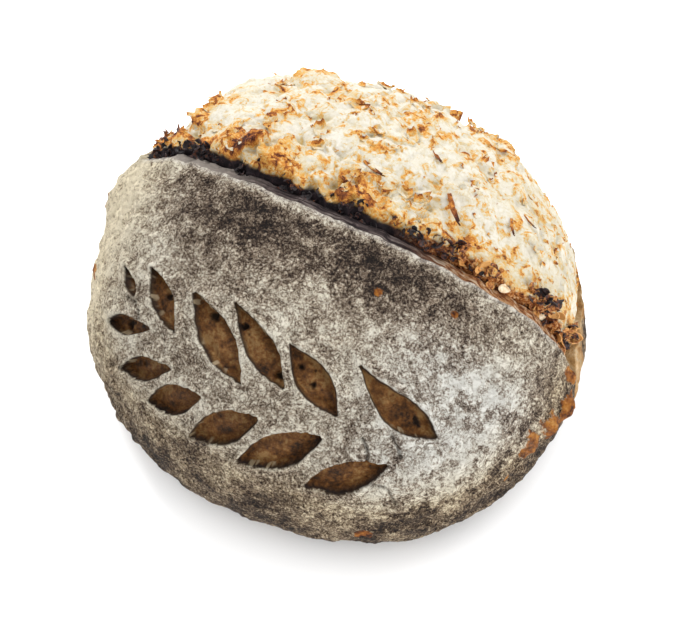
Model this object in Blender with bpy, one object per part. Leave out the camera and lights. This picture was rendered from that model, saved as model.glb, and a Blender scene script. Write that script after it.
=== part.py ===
"""Sourdough loaf: a round to oval hearth loaf, slashed once along its length, with a wheat-stalk pattern
of twelve shallow leaf cuts in the floured crust of its front.

One solid. X runs along the slash, -Y is the floured front, +Y the torn bloom, Z is up.
The origin is at the middle of the flat base. All sizes are in metres, and angles in degrees where named so.
"""
import math

import bmesh
import bpy
from mathutils import Vector, noise

# Driving dimensions of the whole loaf
HALF_LENGTH = 0.120
HALF_WIDTH = 0.110
HEIGHT = 0.122
BULGE_HEIGHT = 0.034        # where the loaf is widest
BASE_RATIO = 0.75           # flat base, as a part of the widest outline
PLAN_POWER = 2.15           # 2 is an ellipse, more is squarer
CROWN_SIDE_POWER = 2.4      # how full the shoulder is
CROWN_TOP_POWER = 2.05      # how flat the top is
CROWN_LEAN = Vector((-0.010, 0.007))    # the top leans this far from the middle of the base
LEAN_POWER = 1.5

# The slash, and the ear of crust that lifted in front of it
LIP_Y = -0.007              # the lip's line in plan, before the lean, at the middle
LIP_BOW = 0.017             # both its ends turn back by this much
SLASH_START = -0.113
SLASH_END = 0.117
SLASH_STATIONS = 48
EAR_RISE = 0.0030
EAR_REACH = 0.013
SLASH_OPEN = 0.010          # width of the valley behind the lip, at the surface
SLASH_DEPTH = 0.0058
SLASH_UNDERCUT = 0.0020
SLASH_CLEARANCE = 0.012     # how far the cutter stands above the crust
SLASH_END_SCALE = 0.30

# The torn bloom behind the slash, between the lip and the far edge of the opening
BLOOM_FAR_Y = 0.094
BLOOM_FAR_BOW = -0.080      # its ends turn forward, to meet the lip's
BLOOM_FAR_POWER = 4
BLOOM_RISE = 0.0022
BLOOM_EDGE = 0.007          # width of the slope up to it
BLOOM_LUMP = 0.0020
BLOOM_LUMP_SIZE = 0.016

LIFT_FADE = 0.025           # above the bulge, over which the ear and the bloom come up

# Where the dough swelled or drew in: middle, reach, rise
SWELLS = (
    (Vector((-0.113, 0.002, 0.078)), 0.016, 0.0050),    # knuckle at the slash's near end
    (Vector((-0.096, 0.048, 0.078)), 0.024, -0.0035),   # hollow behind it
    (Vector((-0.121, -0.035, 0.060)), 0.022, -0.0020),
)

# The leaf cuts
LEAF_DEPTH = 0.0040
LEAF_SIDE_POINTS = 24
LEAF_CUTTER_DEPTH = 0.022
LEAF_CUTTER_OUT = 0.012
STALK_MIDDLE = Vector((0.003, -0.081))  # where the stalk runs nearest to the front
STALK_BOW = 3.45            # its ends turn back: metres for each square metre
# Along the stalk, out from it, length, width, turn from X in plan, belly (0.5 is the middle of the leaf),
# bow (how far the leaf's middle bends sideways)
UPPER_LEAVES = (
    (-0.078, 0.0065, 0.021, 0.0055, -45, 0.60, 0.0),
    (-0.0575, 0.0110, 0.036, 0.0115, -49, 0.52, 0.0),
    (-0.0275, 0.0130, 0.050, 0.0160, -44, 0.54, 0.0),
    (-0.0085, 0.0190, 0.048, 0.0135, -41, 0.58, 0.0),
    (0.020, 0.0145, 0.040, 0.0150, -37, 0.52, 0.0),
    (0.0545, 0.0170, 0.056, 0.0155, -22, 0.66, -0.0045),
)
LOWER_LEAVES = (
    (-0.0705, -0.0065, 0.033, 0.0095, 20, 0.42, 0.0),
    (-0.0555, -0.0135, 0.034, 0.0115, 33, 0.46, 0.0),
    (-0.0375, -0.0150, 0.034, 0.0150, 43, 0.50, 0.0),
    (-0.011, -0.0130, 0.041, 0.0160, 53, 0.50, 0.0),
    (0.016, -0.0120, 0.045, 0.0170, 55, 0.50, 0.0),
    (0.047, -0.0145, 0.041, 0.0165, 53, 0.46, 0.0),
)

# How finely the solid is faceted
AROUND = 80
RINGS = 40
BULGE_LATITUDE = -36.0      # rings above this make the crown
FOOT_LATITUDE = -81.0       # rings below this lie in the flat base

CRUST_COLOUR = (0.33, 0.28, 0.22, 1.0)


def clear_scene():
    for item in list(bpy.data.objects):
        bpy.data.objects.remove(item, do_unlink=True)


def new_collection(name, hidden=False):
    collection = bpy.data.collections.new(name)
    bpy.context.scene.collection.children.link(collection)
    collection.hide_render = hidden
    return collection


def smooth_step(value):
    value = min(max(value, 0.0), 1.0)
    return value * value * (3.0 - 2.0 * value)


def signed_power(value, power):
    return math.copysign(abs(value) ** power, value)


def plan_radius(angle, inset):
    """Distance from the middle to the widest outline, in the direction of angle."""
    across = abs(math.cos(angle) / (HALF_LENGTH - inset)) ** PLAN_POWER
    along = abs(math.sin(angle) / (HALF_WIDTH - inset)) ** PLAN_POWER
    return (across + along) ** (-1.0 / PLAN_POWER)


def lean_at(z):
    """How far the crown has leaned at height z."""
    share = max(0.0, (z - BULGE_HEIGHT) / (HEIGHT - BULGE_HEIGHT))
    return CROWN_LEAN * share ** LEAN_POWER


def section_point(latitude, inset):
    """The upright section of the loaf: (part of the plan radius, height) at a latitude in degrees."""
    top = HEIGHT - inset
    if latitude >= BULGE_LATITUDE:
        turn = math.radians(90.0 * (latitude - BULGE_LATITUDE) / (90.0 - BULGE_LATITUDE))
        ratio = max(math.cos(turn), 0.0) ** (2.0 / CROWN_SIDE_POWER)
        height = BULGE_HEIGHT + (top - BULGE_HEIGHT) * math.sin(turn) ** (2.0 / CROWN_TOP_POWER)
        return ratio, height
    if latitude >= FOOT_LATITUDE:
        turn = math.radians(90.0 * (BULGE_LATITUDE - latitude) / (BULGE_LATITUDE - FOOT_LATITUDE))
        ratio = BASE_RATIO + (1.0 - BASE_RATIO) * math.cos(turn)
        return ratio, inset + (BULGE_HEIGHT - inset) * (1.0 - math.sin(turn))
    return BASE_RATIO * (latitude + 90.0) / (FOOT_LATITUDE + 90.0), inset


def crown_height(x, y):
    """Height of the smooth crown over a point in plan."""
    z = HEIGHT
    for _ in range(12):
        lean = lean_at(z)
        away_x = abs((x - lean.x) / HALF_LENGTH) ** PLAN_POWER
        away_y = abs((y - lean.y) / HALF_WIDTH) ** PLAN_POWER
        ratio = min((away_x + away_y) ** (1.0 / PLAN_POWER), 1.0)
        share = (1.0 - ratio ** CROWN_SIDE_POWER) ** (1.0 / CROWN_TOP_POWER)
        z = 0.5 * z + 0.5 * (BULGE_HEIGHT + (HEIGHT - BULGE_HEIGHT) * share)
    return z


def crown_point(x, y):
    return Vector((x, y, crown_height(x, y)))


def crown_normal(x, y, step=0.001):
    along = crown_point(x + step, y) - crown_point(x - step, y)
    across = crown_point(x, y + step) - crown_point(x, y - step)
    return along.cross(across).normalized()


def lip_y(x):
    """The lip's line in plan, on the leaning crown."""
    bow = LIP_Y + LIP_BOW * (x / HALF_LENGTH) ** 2
    return bow + lean_at(crown_height(x, bow)).y


def bloom_far_y(x):
    return BLOOM_FAR_Y + BLOOM_FAR_BOW * (x / HALF_LENGTH) ** BLOOM_FAR_POWER


def stalk_y(x):
    return STALK_MIDDLE.y + STALK_BOW * (x - STALK_MIDDLE.x) ** 2


def ear_rise(point):
    """The skin curls up towards the lip, most in the middle of the slash."""
    away = lip_y(point.x) - point.y
    end = 1.0 - smooth_step((abs(point.x) - 0.6 * HALF_LENGTH) / (0.4 * HALF_LENGTH))
    return EAR_RISE * (0.4 + 0.6 * end) * math.exp(-abs(away) / EAR_REACH)


def bloom_rise(point):
    """The torn crumb stands proud of the skin and is lumpy."""
    inside = min(point.y - lip_y(point.x), bloom_far_y(point.x) - point.y)
    lump = noise.noise(point / BLOOM_LUMP_SIZE) + 0.5 * noise.noise(point * 2.0 / BLOOM_LUMP_SIZE)
    return (BLOOM_RISE + BLOOM_LUMP * lump) * smooth_step(inside / BLOOM_EDGE)


def swell(point):
    return sum(rise * math.exp(-((point - middle).length / reach) ** 2) for middle, reach, rise in SWELLS)


def shape_loaf(mesh, inset=0.0, rises=()):
    """Turn a unit sphere into the loaf, inset by a depth all over, and lift it by the given rises."""
    for vertex in mesh.verts:
        unit = vertex.co.normalized()
        latitude = math.degrees(math.asin(min(max(unit.z, -1.0), 1.0)))
        angle = math.atan2(unit.y, unit.x)
        ratio, height = section_point(latitude, inset)
        radius = plan_radius(angle, inset) * ratio
        lean = lean_at(height)
        vertex.co = Vector((radius * math.cos(angle) + lean.x, radius * math.sin(angle) + lean.y, height))
    mesh.normal_update()
    lifts = [(v, v.normal.copy(), sum(rise(v.co) for rise in rises)) for v in mesh.verts]
    for vertex, normal, lift in lifts:
        vertex.co += normal * lift * smooth_step((vertex.co.z - BULGE_HEIGHT) / LIFT_FADE)


def loaf_body(name, collection, inset=0.0, rises=()):
    mesh = bmesh.new()
    bmesh.ops.create_uvsphere(mesh, u_segments=AROUND, v_segments=RINGS, radius=1.0)
    shape_loaf(mesh, inset, rises)
    return finish(mesh, name, collection)


def finish(mesh, name, collection, smooth=True):
    bmesh.ops.recalc_face_normals(mesh, faces=mesh.faces)
    data = bpy.data.meshes.new(name)
    mesh.to_mesh(data)
    mesh.free()
    if smooth:
        data.shade_smooth()
    item = bpy.data.objects.new(name, data)
    collection.objects.link(item)
    return item


def hide_cutter(item):
    item.hide_render = True
    item.display_type = 'WIRE'


def leaf_outline(turn, length, width, belly, bow):
    """A pointed leaf in its own plane, from a turn round its outline: tips at 0 and 180 degrees."""
    along = 0.5 * (1.0 - math.cos(turn))
    skewed = along ** (math.log(0.5) / math.log(belly))
    half = 0.5 * width * signed_power(math.sin(turn), 0.2) * math.sin(math.pi * skewed)
    return Vector(((along - 0.5) * length, half + bow * math.sin(math.pi * along)))


def leaf_cutter(name, collection, x, out, length, width, turn, belly, bow):
    """A prism of the leaf's outline, standing square to the crust at the leaf's middle."""
    y = stalk_y(x) + out
    middle = crown_point(x, y)
    normal = crown_normal(x, y)
    heading = Vector((math.cos(math.radians(turn)), math.sin(math.radians(turn)), 0.0))
    along = (heading - normal * heading.dot(normal)).normalized()
    across = normal.cross(along)
    mesh = bmesh.new()
    bmesh.ops.create_cone(mesh, cap_ends=True, segments=LEAF_SIDE_POINTS, radius1=1.0, radius2=1.0,
                          depth=1.0)
    for vertex in mesh.verts:
        flat = leaf_outline(math.atan2(vertex.co.y, -vertex.co.x), length, width, belly, bow)
        lift = LEAF_CUTTER_OUT if vertex.co.z > 0.0 else -LEAF_CUTTER_DEPTH
        vertex.co = middle + along * flat.x + across * flat.y + normal * lift
    bmesh.ops.remove_doubles(mesh, verts=mesh.verts, dist=1e-6)
    item = finish(mesh, name, collection, smooth=False)
    hide_cutter(item)
    return item


def slash_section(scale):
    """The valley's section: (behind the lip, above the crust), anticlockwise seen from +X."""
    return (
        Vector((-0.25 * SLASH_UNDERCUT, SLASH_CLEARANCE)),
        Vector((-SLASH_UNDERCUT, -SLASH_DEPTH)) * scale,
        Vector((0.35 * SLASH_OPEN, -SLASH_DEPTH)) * scale,
        Vector((scale * 1.6 * SLASH_OPEN, SLASH_CLEARANCE)),
    )


def slash_cutter(collection):
    """A tapered wedge swept along the lip: a grid wrapped round the section at each station."""
    sides = len(slash_section(1.0))
    mesh = bmesh.new()
    bmesh.ops.create_grid(mesh, x_segments=SLASH_STATIONS, y_segments=sides, size=1.0)
    for vertex in mesh.verts:
        share = 0.5 * (vertex.co.x + 1.0)
        corner = round(0.5 * (vertex.co.y + 1.0) * sides) % sides
        x = SLASH_START + (SLASH_END - SLASH_START) * share
        taper = SLASH_END_SCALE + (1.0 - SLASH_END_SCALE) * (1.0 - abs(2.0 * share - 1.0) ** 3)
        flat = slash_section(taper)[corner]
        y = lip_y(x)
        start, normal = crown_point(x, y), crown_normal(x, y)
        across = normal.cross(Vector((1.0, 0.0, 0.0))).normalized()
        vertex.co = start + across * flat.x + normal * flat.y
    bmesh.ops.remove_doubles(mesh, verts=mesh.verts, dist=1e-6)
    bmesh.ops.holes_fill(mesh, edges=mesh.edges, sides=sides)
    item = finish(mesh, 'slash_cutter', collection, smooth=False)
    hide_cutter(item)
    return item


def crust_material():
    material = bpy.data.materials.new('floured crust')
    material.use_nodes = True
    shader = material.node_tree.nodes['Principled BSDF']
    shader.inputs['Base Color'].default_value = CRUST_COLOUR
    shader.inputs['Roughness'].default_value = 0.85
    shader.inputs['Metallic'].default_value = 0.0
    return material


def combine(loaf, other, operation):
    cut = loaf.modifiers.new(other.name, 'BOOLEAN')
    cut.operation = operation
    cut.object = other
    cut.solver = 'EXACT'


def build():
    clear_scene()
    parts = new_collection('sourdough loaf')
    cutters = new_collection('cutters', hidden=True)
    loaf = loaf_body('loaf', parts, rises=(ear_rise, bloom_rise, swell))
    for row, leaves in (('upper', UPPER_LEAVES), ('lower', LOWER_LEAVES)):
        for number, leaf in enumerate(leaves):
            combine(loaf, leaf_cutter(f'{row}_leaf_{number}', cutters, *leaf), 'DIFFERENCE')
    core = loaf_body('core', cutters, inset=LEAF_DEPTH, rises=(swell,))
    hide_cutter(core)
    combine(loaf, core, 'UNION')
    combine(loaf, slash_cutter(cutters), 'DIFFERENCE')
    loaf.data.materials.append(crust_material())


build()
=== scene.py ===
"""Looks of the sourdough loaf: floured crust, cut leaves, burnt slash and torn bloom.

The loaf is built in three closed wedges that meet inside it, each with its own crust: the floured front
with the leaf cuts and the ear, the torn bloom, and the plain floured back. Loose torn flakes, burnt flakes
and oat flakes lie on them. Metres, Z up, X along the slash, -Y the front.
"""
import math

import bpy
import numpy as np
from mathutils import Matrix, Quaternion, Vector


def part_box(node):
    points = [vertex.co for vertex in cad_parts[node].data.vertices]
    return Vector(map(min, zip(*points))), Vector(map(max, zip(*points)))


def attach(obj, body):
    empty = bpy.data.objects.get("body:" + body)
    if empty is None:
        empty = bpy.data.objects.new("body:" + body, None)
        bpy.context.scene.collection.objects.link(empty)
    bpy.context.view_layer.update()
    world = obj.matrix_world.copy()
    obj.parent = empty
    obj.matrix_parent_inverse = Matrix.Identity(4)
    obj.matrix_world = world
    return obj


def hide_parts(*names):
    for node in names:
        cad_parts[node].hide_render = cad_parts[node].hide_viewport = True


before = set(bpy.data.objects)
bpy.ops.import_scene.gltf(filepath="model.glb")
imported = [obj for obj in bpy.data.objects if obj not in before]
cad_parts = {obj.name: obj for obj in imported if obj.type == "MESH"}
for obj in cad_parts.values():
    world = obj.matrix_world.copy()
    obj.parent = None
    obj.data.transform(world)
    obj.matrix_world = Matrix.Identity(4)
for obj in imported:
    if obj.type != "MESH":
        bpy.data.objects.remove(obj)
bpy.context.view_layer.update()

MM = 0.001

# ---------------------------------------------------------------------------------------------------------
# Form of the loaf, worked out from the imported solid's box
LOW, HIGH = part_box("loaf")
HALF_LENGTH = 0.5 * (HIGH.x - LOW.x)
HALF_WIDTH = 0.5 * (HIGH.y - LOW.y)
BLOOM_STANDS = 3.6 * MM                                 # the bloom's top above the smooth crown
CROWN_HEIGHT = HIGH.z - BLOOM_STANDS
BULGE_HEIGHT = 34 * MM                                  # where the loaf is widest
BASE_RATIO = 0.75                                       # the base's width over the widest
PLAN_POWER, SIDE_POWER, TOP_POWER = 2.15, 2.4, 2.05     # 2 is an ellipse, more is squarer
CROWN_LEAN = np.array((-10.0, 7.0)) * MM                # the crown leans to the left and the back
LEAN_POWER = 1.5

# In plan: the lip's line, the slash's ends, the bloom's far edge, and the stalk that the leaves stand along
LIP_Y, LIP_BOW = -7 * MM, 17 * MM
SLASH_START, SLASH_END = -113 * MM, 117 * MM
FAR_Y, FAR_BOW, FAR_POWER = 94 * MM, -80 * MM, 4
STALK_X, STALK_Y, STALK_BOW = 3 * MM, -81 * MM, 3.45
# Millimetres along the stalk, out from it, long, wide; degrees from X in plan; belly; millimetres of bow
LEAVES = (
    (-78, 6.5, 21, 5.5, -45, 0.60, 0), (-57.5, 11, 36, 11.5, -49, 0.52, 0), (-27.5, 13, 50, 16, -44, 0.54, 0),
    (-8.5, 19, 48, 13.5, -41, 0.58, 0), (20, 14.5, 40, 15, -37, 0.52, 0),
    (54.5, 17, 56, 15.5, -22, 0.66, -4.5), (-70.5, -6.5, 33, 9.5, 20, 0.42, 0),
    (-55.5, -13.5, 34, 11.5, 33, 0.46, 0), (-37.5, -15, 34, 15, 43, 0.50, 0), (-11, -13, 41, 16, 53, 0.50, 0),
    (16, -12, 45, 17, 55, 0.50, 0), (47, -14.5, 41, 16.5, 53, 0.46, 0),
)
# Where the dough swelled or drew in: middle, reach and rise in millimetres
SWELLS = (
    ((-113, 2, 78), 16, 5.0), ((-96, 48, 78), 24, -3.5), ((-121, -35, 60), 22, -2.0),
    ((-113, -6, 70), 6, 2.0), ((-110, -41, 64), 6, 1.6), ((118, -5, 48), 6, 5.5), ((115, -19, 53), 5, 4.2),
    ((111, -31, 54), 4.5, 3.4), ((104, -47, 48), 5, 2.2), ((119, 8, 55), 5, 2.5),
)
# Where the crust baked orange because no flour reached it: middle and reach in millimetres
BARE_SPOTS = (((30, -21, 117), 2.2), ((63, -12, 108), 1.9), ((59, -98, 38), 5.0), ((-114, -8, 70), 4.5),
              ((-108, -41, 64), 4.5), ((118, -5, 48), 9.5), ((115, -19, 53), 8.0), ((111, -31, 54), 7.0),
              ((104, -47, 48), 5.0), ((117, 8, 58), 7.0))
# Bubbles that opened in the leaf cuts: leaf, place along it, millimetres across it, radius
BUBBLES = ((1, 0.47, 1.6, 1.9), (2, 0.33, 2.6, 2.4), (3, 0.86, 1.4, 1.6), (3, 0.30, -1.5, 1.6),
           (5, 0.79, -2.0, 1.8), (6, 0.42, 0.3, 1.9), (4, 0.30, -2.0, 1.5), (4, 0.55, -1.5, 1.8),
           (7, 0.4, 1.5, 0.9))
# Cracks in the crust, from point to point in plan, in millimetres
CRACKS = (((-76, -58), (-71, -60), (-65, -66)), ((58, -68), (62, -70), (66, -73)),
          ((48, -75), (52, -78), (53, -82)), ((58, -86), (64, -84), (70, -86)))

# How high the crust stands and how deep it is cut, in millimetres
EAR_RISE, EAR_AT_ENDS = 3.2, 0.25
LEAF_DEPTH, LEAF_BELLY, RIM_PUFF = 3.9, 1.4, 1.3
CRACK_DEPTH, BUBBLE_DEPTH, TORN_CRUMBS = 1.5, 1.6, 1.2
TRENCH_DEPTH, BANK_RISE, BURNT_CREST, ENDS_SINK, FAR_SINK = 6.5, 8.0, 2.4, 1.5, 4.0
# How far those reach from an edge
EAR_REACH, PUFF_REACH, CRACK_REACH, FAR_REACH = 12 * MM, 3.4 * MM, 0.8 * MM, 9 * MM
# The bank up from the slash, its burnt crest and the start of the sheets: millimetres from the lip, and width
BANK, CREST, SHEETS = (3.4, 6.4), (8.6, 3.2), (8.0, 5.0)
# Slow waves and blisters of the whole crust, and the back's torn upper edge: rise and size
WAVES, BLISTERS, BACK_EDGE = (0.9 * MM, 42 * MM), (0.75 * MM, 14 * MM), (1.6 * MM, 4 * MM)
# The face behind the ear's lip, in millimetres: width and drop at the slash's ends, and what opening adds
FACE_WIDTH, FACE_OPENS, FACE_DROP, FACE_SINKS = 0.8, 5.2, 1.2, 3.0

CELL = 1.0 * MM             # mesh spacing of the crust
STATION_COUNT, SECTION_SAMPLES = 330, 420
FRONT_ROWS, BACK_ROWS, BLOOM_ROWS, FACE_ROWS = 172, 112, 176, 10
FRONT_SHOWN, BACK_SHOWN = 0.66, 0.62            # share of a section, from its top, that is meshed closely
UNDER_ROWS = 14                                 # rows of the rest, which runs under the loaf
# Points inside the loaf that each wedge is drawn in to
FRONT_HEART, BACK_HEART, BLOOM_HEART = (0.0, -0.03, 0.05), (0.0, 0.03, 0.03), (0.0, 0.03, 0.05)


def smooth_step(value):
    value = np.clip(value, 0.0, 1.0)
    return value * value * (3.0 - 2.0 * value)


def unit(vectors):
    return vectors / np.maximum(np.linalg.norm(vectors, axis=-1, keepdims=True), 1e-12)


def lean_at(z):
    share = np.clip((z - BULGE_HEIGHT) / (CROWN_HEIGHT - BULGE_HEIGHT), 0.0, 1.0) ** LEAN_POWER
    return CROWN_LEAN[0] * share, CROWN_LEAN[1] * share


def outside(x, y, z):
    """Above 0 outside the smooth loaf, below 0 inside it."""
    lean_x, lean_y = lean_at(z)
    away = np.abs((x - lean_x) / HALF_LENGTH) ** PLAN_POWER + np.abs((y - lean_y) / HALF_WIDTH) ** PLAN_POWER
    ratio = away ** (1.0 / PLAN_POWER)
    up = np.clip((z - BULGE_HEIGHT) / (CROWN_HEIGHT - BULGE_HEIGHT), 0.0, None)
    crown = ratio ** SIDE_POWER + up ** TOP_POWER - 1.0
    drop = np.clip(1.0 - z / BULGE_HEIGHT, 0.0, 1.0)
    foot = ratio / (BASE_RATIO + (1.0 - BASE_RATIO) * np.sqrt(1.0 - drop ** 2)) - 1.0
    return np.where(z < 0.0, 1.0, np.where(z >= BULGE_HEIGHT, crown, foot))


def ray_to_crust(start, heading, reach=0.2):
    """Distance along each heading from inside the loaf to its smooth surface."""
    near, far = np.zeros(start.shape[:-1]), np.full(start.shape[:-1], reach)
    for _ in range(34):
        middle = 0.5 * (near + far)
        point = start + heading * middle[..., None]
        out = outside(point[..., 0], point[..., 1], point[..., 2]) > 0.0
        near, far = np.where(out, near, middle), np.where(out, middle, far)
    return near


def section_point(x, turn):
    """The smooth crust at a station and a turn round the spine: 0 is the back, a quarter turn is up."""
    x, turn = np.broadcast_arrays(x, turn)
    spine = np.stack((x, np.zeros_like(x), np.full_like(x, BULGE_HEIGHT)), -1)
    heading = np.stack((np.zeros_like(x), np.cos(turn), np.sin(turn)), -1)
    return spine + heading * ray_to_crust(spine, heading)[..., None]


def crown_point(x, y):
    """The smooth crust above a point in plan."""
    start = np.stack((x, y, np.full_like(x, BULGE_HEIGHT)), -1)
    up = np.broadcast_to(np.array((0.0, 0.0, 1.0)), start.shape)
    return start + up * ray_to_crust(start, up)[..., None]


def half_width_at(x):
    return HALF_WIDTH * np.clip(1.0 - np.abs(x / HALF_LENGTH) ** PLAN_POWER, 0.0, 1.0) ** (1.0 / PLAN_POWER)


def station_places(count):
    """Stations from end to end, evenly spaced over the top of the loaf."""
    turn = np.linspace(1e-4, math.pi - 1e-4, 4000)[::-1]
    spine = np.tile(np.array((0.0, 0.0, BULGE_HEIGHT)), (turn.size, 1))
    heading = np.stack((np.cos(turn), np.zeros_like(turn), np.sin(turn)), -1)
    points = spine + heading * ray_to_crust(spine, heading)[:, None]
    run = np.concatenate(((0.0,), np.cumsum(np.linalg.norm(np.diff(points, axis=0), axis=1))))
    return np.interp(np.linspace(0.6 * CELL, run[-1] - 0.6 * CELL, count), run, points[:, 0])


def lip_turn_at(x):
    y = LIP_Y + LIP_BOW * (x / HALF_LENGTH) ** 2
    room = np.maximum(0.6 * half_width_at(x), np.finfo(float).tiny)
    for _ in range(6):
        lean = lean_at(crown_point(x, room * np.tanh(y / room))[:, 2])[1]
        y = LIP_Y + LIP_BOW * (x / HALF_LENGTH) ** 2 + lean
    point = crown_point(x, room * np.tanh(y / room))
    return np.arctan2(point[:, 2] - BULGE_HEIGHT, point[:, 1])


def slash_open(x):
    """How far the slash has opened at a station, from 0 at its ends to 1."""
    return smooth_step((x - SLASH_START) / (26 * MM)) * smooth_step((SLASH_END - x) / (22 * MM))


def far_turn_at(x):
    """The bloom's far edge, which runs into the lip at both ends."""
    y = np.minimum(FAR_Y + FAR_BOW * (x / HALF_LENGTH) ** FAR_POWER, 0.97 * half_width_at(x))
    point = crown_point(x, y)
    turn = np.arctan2(point[:, 2] - BULGE_HEIGHT, point[:, 1])
    share = smooth_step((x - SLASH_START) / (14 * MM)) * smooth_step((SLASH_END - x) / (10 * MM))
    lip = lip_turn_at(x)
    return lip + (turn - lip) * share


def section_rows(x, start, end, shares):
    """Points of each station's section between two turns, at shares of its length, and those lengths."""
    turn = start[:, None] + (end - start)[:, None] * np.linspace(0.0, 1.0, SECTION_SAMPLES)
    fine = section_point(x[:, None], turn)
    step = np.linalg.norm(np.diff(fine, axis=1), axis=2)
    run = np.concatenate((np.zeros((len(x), 1)), np.cumsum(step, axis=1)), axis=1)
    rows = np.empty((len(x), len(shares), 3))
    for number in range(len(x)):
        wanted = shares * run[number, -1]
        for axis in range(3):
            rows[number, :, axis] = np.interp(wanted, run[number], fine[number, :, axis])
    return rows, shares * run[:, -1:]


def outward(points):
    """Unit normals of a grid of points, facing away from the spine."""
    normal = unit(np.cross(np.gradient(points, axis=1), np.gradient(points, axis=0)))
    spine = points * np.array((1.0, 0.0, 0.0)) + np.array((0.0, 0.0, BULGE_HEIGHT))
    return normal * np.sign(np.sum(normal * (points - spine), axis=-1, keepdims=True))


# ---------------------------------------------------------------------------------------------------------
# Noise for hand-made unevenness, the same each run
LATTICE = np.random.default_rng(5).uniform(-1.0, 1.0, (64, 64, 64))


def rough(points, size, seed=0):
    """Smooth random values from about -1 to 1, with features of the given size in metres."""
    place = points / size + 11.3 + 7.77 * seed
    cell = np.floor(place).astype(int)
    part = place - cell
    part = part * part * (3.0 - 2.0 * part)
    total = np.zeros(points.shape[:-1])
    for corner in np.ndindex(2, 2, 2):
        weight = np.prod(np.where(np.array(corner) == 1, part, 1.0 - part), axis=-1)
        index = (cell + np.array(corner)) % 64
        total += weight * LATTICE[index[..., 0], index[..., 1], index[..., 2]]
    return total


def rough_sum(points, size, octaves, seed=0, fade=0.5):
    return sum(fade ** k * rough(points, size / 2.0 ** k, seed + k) for k in range(octaves))


def swell(points):
    total = np.zeros(points.shape[:-1])
    for middle, reach, rise in SWELLS:
        away = np.linalg.norm(points - np.array(middle) * MM, axis=-1) / (reach * MM)
        total += rise * MM * np.exp(-away ** 2)
    return total


def hearth_fade(points):
    """0 on the flat base, so that it stays flat, to 1 a little above it."""
    return smooth_step(points[..., 2] / (12 * MM))


def unevenness(points):
    """The slow waves and blisters of a hand-shaped loaf."""
    waves = WAVES[0] * rough(points, WAVES[1], 3) + BLISTERS[0] * rough(points, BLISTERS[1], 4)
    return (waves + swell(points)) * hearth_fade(points)


def crust_relief(points):
    """The grit of the baked crust: its finest part, and all of it in millimetres."""
    crumbs = rough_sum(points, 3.2 * MM, 3, 8)
    blisters = np.clip(rough_sum(points, 6.5 * MM, 2, 9), -0.4, 1.0)
    left = smooth_step((-points[..., 0] - 30 * MM) / (50 * MM))
    return crumbs, (0.55 * crumbs + (0.85 + 0.65 * left) * blisters) * hearth_fade(points)


# ---------------------------------------------------------------------------------------------------------
# Mesh building
def deselect_all():
    if bpy.context.object and bpy.context.object.mode != 'OBJECT':
        bpy.ops.object.mode_set(mode='OBJECT')
    bpy.ops.object.select_all(action='DESELECT')


def make_active(piece):
    deselect_all()
    piece.select_set(True)
    bpy.context.view_layer.objects.active = piece


def store(piece, name, values):
    layer = piece.data.attributes.new(name, 'FLOAT', 'POINT')
    layer.data.foreach_set('value', np.ascontiguousarray(values, np.float32).ravel())


def wedge(name, points, fields, ends, heart):
    """A closed wedge of the loaf: a grid on its crust, gathered at both ends and drawn in to the heart."""
    deselect_all()
    first, last = (np.broadcast_to(end, (1,) + points.shape[1:]) for end in ends)
    points = np.concatenate((first, points, last), axis=0)
    stations, rows = points.shape[:2]
    bpy.ops.mesh.primitive_grid_add(x_subdivisions=stations - 1, y_subdivisions=rows - 1, size=2.0,
                                    location=(0.0, 0.0, 0.0))
    piece = bpy.context.object
    piece.name = piece.data.name = name
    flat = np.empty(len(piece.data.vertices) * 3, np.float32)
    piece.data.vertices.foreach_get('co', flat)
    flat = flat.reshape(-1, 3)
    along = np.rint(0.5 * (flat[:, 0] + 1.0) * (stations - 1)).astype(int)
    down = np.rint(0.5 * (flat[:, 1] + 1.0) * (rows - 1)).astype(int)
    piece.data.vertices.foreach_set('co', points[along, down].astype(np.float32).ravel())
    piece.data.uv_layers[0].name = 'OFBake'
    for field, values in fields.items():
        store(piece, field, np.pad(values, ((1, 1), (0, 0)), mode='edge')[along, down])
    bpy.context.scene.cursor.location = heart
    bpy.ops.object.mode_set(mode='EDIT')
    bpy.ops.mesh.select_mode(type='FACE')
    bpy.ops.mesh.select_all(action='SELECT')
    bpy.ops.mesh.remove_doubles(threshold=0.01 * MM)
    bpy.ops.mesh.quads_convert_to_tris(quad_method='SHORTEST_DIAGONAL', ngon_method='BEAUTY')
    bpy.ops.mesh.select_mode(type='EDGE')
    bpy.ops.mesh.select_all(action='DESELECT')
    bpy.ops.mesh.select_non_manifold()
    bpy.ops.mesh.extrude_edges_move()
    bpy.ops.mesh.merge(type='CURSOR')
    bpy.ops.mesh.select_all(action='SELECT')
    bpy.ops.mesh.normals_make_consistent(inside=False)
    bpy.ops.object.mode_set(mode='OBJECT')
    bpy.ops.object.shade_smooth()
    piece.location = (0.0, 0.0, 0.0)
    return piece


# ---------------------------------------------------------------------------------------------------------
# The three wedges
STATIONS = station_places(STATION_COUNT)
LIP_TURN = lip_turn_at(STATIONS)
FAR_TURN = far_turn_at(STATIONS)
OPEN = slash_open(STATIONS)[:, None]
TORN = (STATIONS > SLASH_START + 0.5 * MM) & (STATIONS < SLASH_END - 0.5 * MM)
ENDS = section_point(0.9997 * HALF_LENGTH * np.array((-1.0, 1.0)), np.array((0.5, 0.5)) * math.pi)
ENDS[:, 2] = BULGE_HEIGHT


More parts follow.
